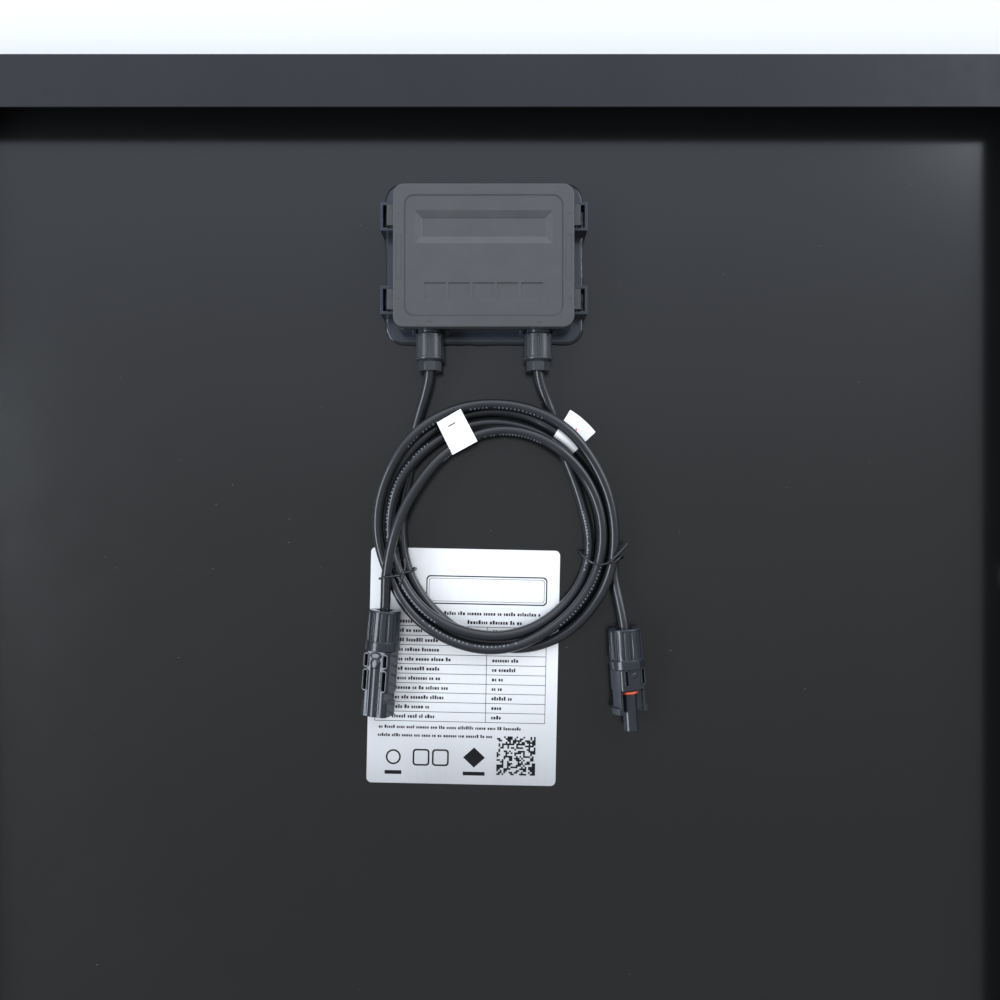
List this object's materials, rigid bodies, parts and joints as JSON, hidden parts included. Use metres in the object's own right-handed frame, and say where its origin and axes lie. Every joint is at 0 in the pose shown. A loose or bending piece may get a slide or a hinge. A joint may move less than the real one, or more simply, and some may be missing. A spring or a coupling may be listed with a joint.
{
  "type": "solar panel",
  "caption": "Framed solar panel lying on its glass, with a rear junction box, label, and two coiled leads ending in a socket plug and a nose plug.",
  "frame": {"origin": "middle of the frame's footprint on the floor, with the glass side down", "axes": "+X across the panel, +Y along it towards the junction box, +Z out of the rear side"},
  "size_m": [0.68, 1.33, 0.035],
  "materials": {
    "black_aluminium": "black anodised, fine matt",
    "bare_aluminium": "mill finish",
    "grey_sealant": "matt cured silicone",
    "clear_glass": "textured solar glass",
    "encapsulant": "clear laminated film",
    "silicon": "dark blue coated silicon",
    "tinned_metal": "tin plated",
    "backsheet_film": "satin black film",
    "silver_film": "silver film label",
    "black_silicone": "glossy cured silicone",
    "box_plastic": "finely textured moulding",
    "black_rubber": "matt rubber",
    "spring_steel": "bright spring steel",
    "terminal_brass": "stamped brass",
    "diode_plastic": "moulded epoxy",
    "gland_plastic": "satin moulding",
    "cable_jacket": "glossy cable jacket",
    "plug_plastic": "satin moulding",
    "orange_rubber": "silicone rubber",
    "tie_plastic": "coated wire",
    "white_paper": "white paper"
  },
  "bodies": {
    "panel": {"backsheet": "backsheet_film", "box_adhesive": "black_silicone", "bus_ribbons": "tinned_metal", "bypass_diode_1": "diode_plastic", "bypass_diode_2": "diode_plastic", "cable_coil": "cable_jacket", "cell_string_1": "silicon", "cell_string_2": "silicon", "cell_string_3": "silicon", "cell_string_4": "silicon", "corner_keys": "bare_aluminium", "frame_rail_bottom": "black_aluminium", "frame_rail_left": "black_aluminium", "frame_rail_right": "black_aluminium", "frame_rail_top": "black_aluminium", "frame_sealant": "grey_sealant", "front_encapsulant": "encapsulant", "glass": "clear_glass", "junction_box_base": "box_plastic", "lead_ferrules": "tinned_metal", "negative_inner_lead": "cable_jacket", "negative_lead": "cable_jacket", "negative_plug_contact": "tinned_metal", "negative_plug_housing": "plug_plastic", "negative_plug_lead_end": "cable_jacket", "negative_tail": "cable_jacket", "plug_seal_ring": "orange_rubber", "polarity_flag_negative": "white_paper", "polarity_flag_positive": "white_paper", "positive_inner_lead": "cable_jacket", "positive_lead": "cable_jacket", "positive_plug_contact": "tinned_metal", "positive_plug_housing": "plug_plastic", "positive_plug_lead_end": "cable_jacket", "positive_tail": "cable_jacket", "rating_label": "silver_film", "rear_encapsulant": "encapsulant", "ribbon_springs": "spring_steel", "terminal_rail_negative": "terminal_brass", "terminal_rail_positive": "terminal_brass", "twist_tie_left": "tie_plastic", "twist_tie_right": "tie_plastic"},
    "negative_gland_bush": {"negative_gland_seal": "black_rubber"},
    "negative_gland_nut": {"negative_gland_nut": "gland_plastic"},
    "positive_gland_bush": {"positive_gland_seal": "black_rubber"},
    "positive_gland_nut": {"positive_gland_nut": "gland_plastic"},
    "negative_plug_bush": {"negative_plug_seal": "black_rubber"},
    "negative_plug_nut": {"negative_plug_nut": "plug_plastic"},
    "positive_plug_bush": {"positive_plug_seal": "black_rubber"},
    "positive_plug_nut": {"positive_plug_nut": "plug_plastic"},
    "lid": {"junction_box_lid": "box_plastic", "lid_gasket": "black_rubber"}
  },
  "joints": [
    {"name": "lid_lift", "type": "slide", "parent": "panel", "child": "lid", "axis": [0, 0, 1], "range_m": [0, 0.04]},
    {"name": "negative_gland_nut_travel", "type": "slide", "parent": "panel", "child": "negative_gland_bush", "axis": [0, -1, 0], "range_m": [0, 0.00376]},
    {"name": "negative_gland_nut_turn", "type": "hinge", "parent": "negative_gland_bush", "child": "negative_gland_nut", "pos_m": [-0.0316, 0.4871, 0.017], "axis": [0, -1, 0], "range_deg": [0, 900]},
    {"name": "positive_gland_nut_travel", "type": "slide", "parent": "panel", "child": "positive_gland_bush", "axis": [0, -1, 0], "range_m": [0, 0.00376]},
    {"name": "positive_gland_nut_turn", "type": "hinge", "parent": "positive_gland_bush", "child": "positive_gland_nut", "pos_m": [0.0316, 0.4871, 0.017], "axis": [0, -1, 0], "range_deg": [0, 900]},
    {"name": "negative_plug_nut_travel", "type": "slide", "parent": "panel", "child": "negative_plug_bush", "axis": [0.0715, 0.9974, 0], "range_m": [0, 0.00301]},
    {"name": "negative_plug_nut_turn", "type": "hinge", "parent": "negative_plug_bush", "child": "negative_plug_nut", "pos_m": [-0.05785, 0.3477, 0.0171], "axis": [0.0715, 0.9974, 0], "range_deg": [0, 720]},
    {"name": "positive_plug_nut_travel", "type": "slide", "parent": "panel", "child": "positive_plug_bush", "axis": [-0.068, 0.9977, 0], "range_m": [0, 0.00301]},
    {"name": "positive_plug_nut_turn", "type": "hinge", "parent": "positive_plug_bush", "child": "positive_plug_nut", "pos_m": [0.08215, 0.3372, 0.0171], "axis": [-0.068, 0.9977, 0], "range_deg": [0, 720]}
  ],
  "couplings": [
    {"joint": "negative_gland_nut_travel", "follows": "negative_gland_nut_turn", "m_per_rad": 0.00023873},
    {"joint": "positive_gland_nut_travel", "follows": "positive_gland_nut_turn", "m_per_rad": 0.00023873},
    {"joint": "negative_plug_nut_travel", "follows": "negative_plug_nut_turn", "m_per_rad": 0.00023873},
    {"joint": "positive_plug_nut_travel", "follows": "positive_plug_nut_turn", "m_per_rad": 0.00023873}
  ]
}
